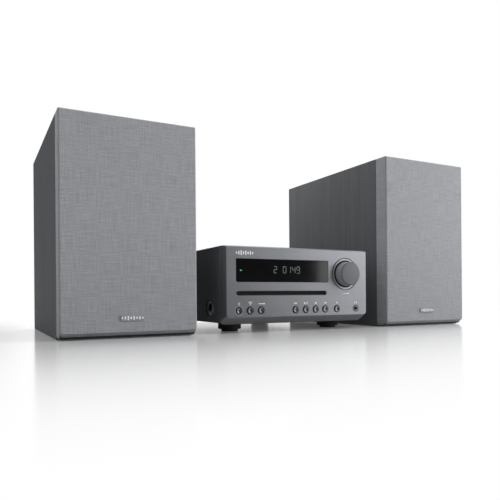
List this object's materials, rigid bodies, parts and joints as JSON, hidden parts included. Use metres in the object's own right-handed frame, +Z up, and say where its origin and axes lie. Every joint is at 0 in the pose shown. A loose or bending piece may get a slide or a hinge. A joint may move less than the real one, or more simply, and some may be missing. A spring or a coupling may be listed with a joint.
{
  "type": "mini hifi system",
  "caption": "Compact slot-loading disc receiver with display and volume knob, between two bookshelf speakers with cloth grilles.",
  "frame": {"origin": "on the shelf, under the centre of the whole system's box, speakers at their rest spacing", "axes": "+X from the left speaker to the right one, +Y back into the depth, fronts face -Y, +Z up"},
  "size_m": [0.567, 0.3046, 0.232],
  "materials": {
    "vinyl_wrap": "satin",
    "fibreboard": "matt",
    "grille_cloth": "woven",
    "badge_metal": "brushed",
    "basket_steel": "satin",
    "ferrite": "matt",
    "cone_paper": "matt",
    "black_rubber": "matt",
    "black_plastic": "moulded",
    "dome_fabric": "woven",
    "circuit_board": "satin",
    "satin_panel": "satin",
    "black_steel": "satin",
    "zinc_steel": "plated",
    "smoked_window": "polished",
    "display_glass": "polished",
    "bare_aluminium": "extruded",
    "satin_knob": "satin",
    "satin_button": "satin",
    "foot_rubber": "matt"
  },
  "bodies": {
    "receiver": {"front_panel": "satin_panel", "top_cover": "black_steel", "chassis": "zinc_steel", "rear_panel": "black_steel", "display_window": "smoked_window", "display_module": "display_glass", "control_board": "circuit_board", "main_board": "circuit_board", "power_supply": "circuit_board", "heat_sink": "bare_aluminium", "rear_sockets": "black_plastic", "speaker_terminals": "black_plastic", "mains_inlet": "black_plastic", "volume_encoder": "zinc_steel", "headphone_jack": "black_plastic", "disc_drive_frame": "zinc_steel", "front_left_foot": "foot_rubber", "front_right_foot": "foot_rubber", "rear_left_foot": "foot_rubber", "rear_right_foot": "foot_rubber"},
    "left_speaker": {"left_cabinet": "vinyl_wrap", "left_baffle": "fibreboard", "left_woofer_frame": "basket_steel", "left_woofer_magnet": "ferrite", "left_woofer_surround": "black_rubber", "left_tweeter_plate": "black_plastic", "left_tweeter_dome": "dome_fabric", "left_port_tube": "black_plastic", "left_terminal_plate": "black_plastic", "left_crossover": "circuit_board"},
    "left_grille": {"left_grille_frame": "black_plastic", "left_grille_cloth": "grille_cloth", "left_badge": "badge_metal"},
    "left_cone": {"left_woofer_cone": "cone_paper"},
    "right_speaker": {"right_cabinet": "vinyl_wrap", "right_baffle": "fibreboard", "right_woofer_frame": "basket_steel", "right_woofer_magnet": "ferrite", "right_woofer_surround": "black_rubber", "right_tweeter_plate": "black_plastic", "right_tweeter_dome": "dome_fabric", "right_port_tube": "black_plastic", "right_terminal_plate": "black_plastic", "right_crossover": "circuit_board"},
    "right_grille": {"right_grille_frame": "black_plastic", "right_grille_cloth": "grille_cloth", "right_badge": "badge_metal"},
    "right_cone": {"right_woofer_cone": "cone_paper"},
    "volume_knob": {"volume_knob": "satin_knob"},
    "power_button": {"power_button": "satin_button"},
    "wireless_button": {"wireless_button": "satin_button"},
    "source_button": {"source_button": "satin_button"},
    "skip_back_button": {"skip_back_button": "satin_button"},
    "play_pause_button": {"play_pause_button": "satin_button"},
    "stop_button": {"stop_button": "satin_button"},
    "skip_forward_button": {"skip_forward_button": "satin_button"},
    "eject_button": {"eject_button": "satin_button"},
    "disc_turntable": {"disc_turntable": "black_plastic"},
    "laser_sled": {"laser_sled": "black_plastic"},
    "feed_roller": {"feed_roller": "black_rubber"}
  },
  "joints": [
    {"name": "left_speaker_slide", "type": "slide", "parent": "receiver", "child": "left_speaker", "axis": [-1, 0, 0], "range_m": [-0.03, 0.15]},
    {"name": "left_grille_pull", "type": "slide", "parent": "left_speaker", "child": "left_grille", "axis": [0, -1, 0], "range_m": [0, 0.06]},
    {"name": "left_cone_travel", "type": "slide", "parent": "left_speaker", "child": "left_cone", "axis": [0, -1, 0], "range_m": [-0.003, 0.003], "stiffness_N_per_m": 900},
    {"name": "right_speaker_slide", "type": "slide", "parent": "receiver", "child": "right_speaker", "axis": [1, 0, 0], "range_m": [-0.03, 0.15]},
    {"name": "right_grille_pull", "type": "slide", "parent": "right_speaker", "child": "right_grille", "axis": [0, -1, 0], "range_m": [0, 0.06]},
    {"name": "right_cone_travel", "type": "slide", "parent": "right_speaker", "child": "right_cone", "axis": [0, -1, 0], "range_m": [-0.003, 0.003], "stiffness_N_per_m": 900},
    {"name": "volume_turn", "type": "hinge", "parent": "receiver", "child": "volume_knob", "pos_m": [0.0676, -0.13975, 0.0709], "axis": [0, 1, 0], "continuous": true},
    {"name": "power_press", "type": "slide", "parent": "receiver", "child": "power_button", "axis": [0, 1, 0], "range_m": [0, 0.0012], "stiffness_N_per_m": 500, "springref_m": -0.0004},
    {"name": "wireless_press", "type": "slide", "parent": "receiver", "child": "wireless_button", "axis": [0, 1, 0], "range_m": [0, 0.0012], "stiffness_N_per_m": 500, "springref_m": -0.0004},
    {"name": "source_press", "type": "slide", "parent": "receiver", "child": "source_button", "axis": [0, 1, 0], "range_m": [0, 0.0012], "stiffness_N_per_m": 500, "springref_m": -0.0004},
    {"name": "skip_back_press", "type": "slide", "parent": "receiver", "child": "skip_back_button", "axis": [0, 1, 0], "range_m": [0, 0.0012], "stiffness_N_per_m": 500, "springref_m": -0.0004},
    {"name": "play_pause_press", "type": "slide", "parent": "receiver", "child": "play_pause_button", "axis": [0, 1, 0], "range_m": [0, 0.0012], "stiffness_N_per_m": 500, "springref_m": -0.0004},
    {"name": "stop_press", "type": "slide", "parent": "receiver", "child": "stop_button", "axis": [0, 1, 0], "range_m": [0, 0.0012], "stiffness_N_per_m": 500, "springref_m": -0.0004},
    {"name": "skip_forward_press", "type": "slide", "parent": "receiver", "child": "skip_forward_button", "axis": [0, 1, 0], "range_m": [0, 0.0012], "stiffness_N_per_m": 500, "springref_m": -0.0004},
    {"name": "eject_press", "type": "slide", "parent": "receiver", "child": "eject_button", "axis": [0, 1, 0], "range_m": [0, 0.0012], "stiffness_N_per_m": 500, "springref_m": -0.0004},
    {"name": "disc_spin", "type": "hinge", "parent": "receiver", "child": "disc_turntable", "pos_m": [-0.0255, -0.05775, 0.0412], "axis": [0, 0, 1], "continuous": true},
    {"name": "laser_travel", "type": "slide", "parent": "receiver", "child": "laser_sled", "axis": [0, 1, 0], "range_m": [0, 0.034]},
    {"name": "feed_roller_spin", "type": "hinge", "parent": "receiver", "child": "feed_roller", "pos_m": [-0.0255, -0.11275, 0.04], "axis": [1, 0, 0], "continuous": true}
  ]
}
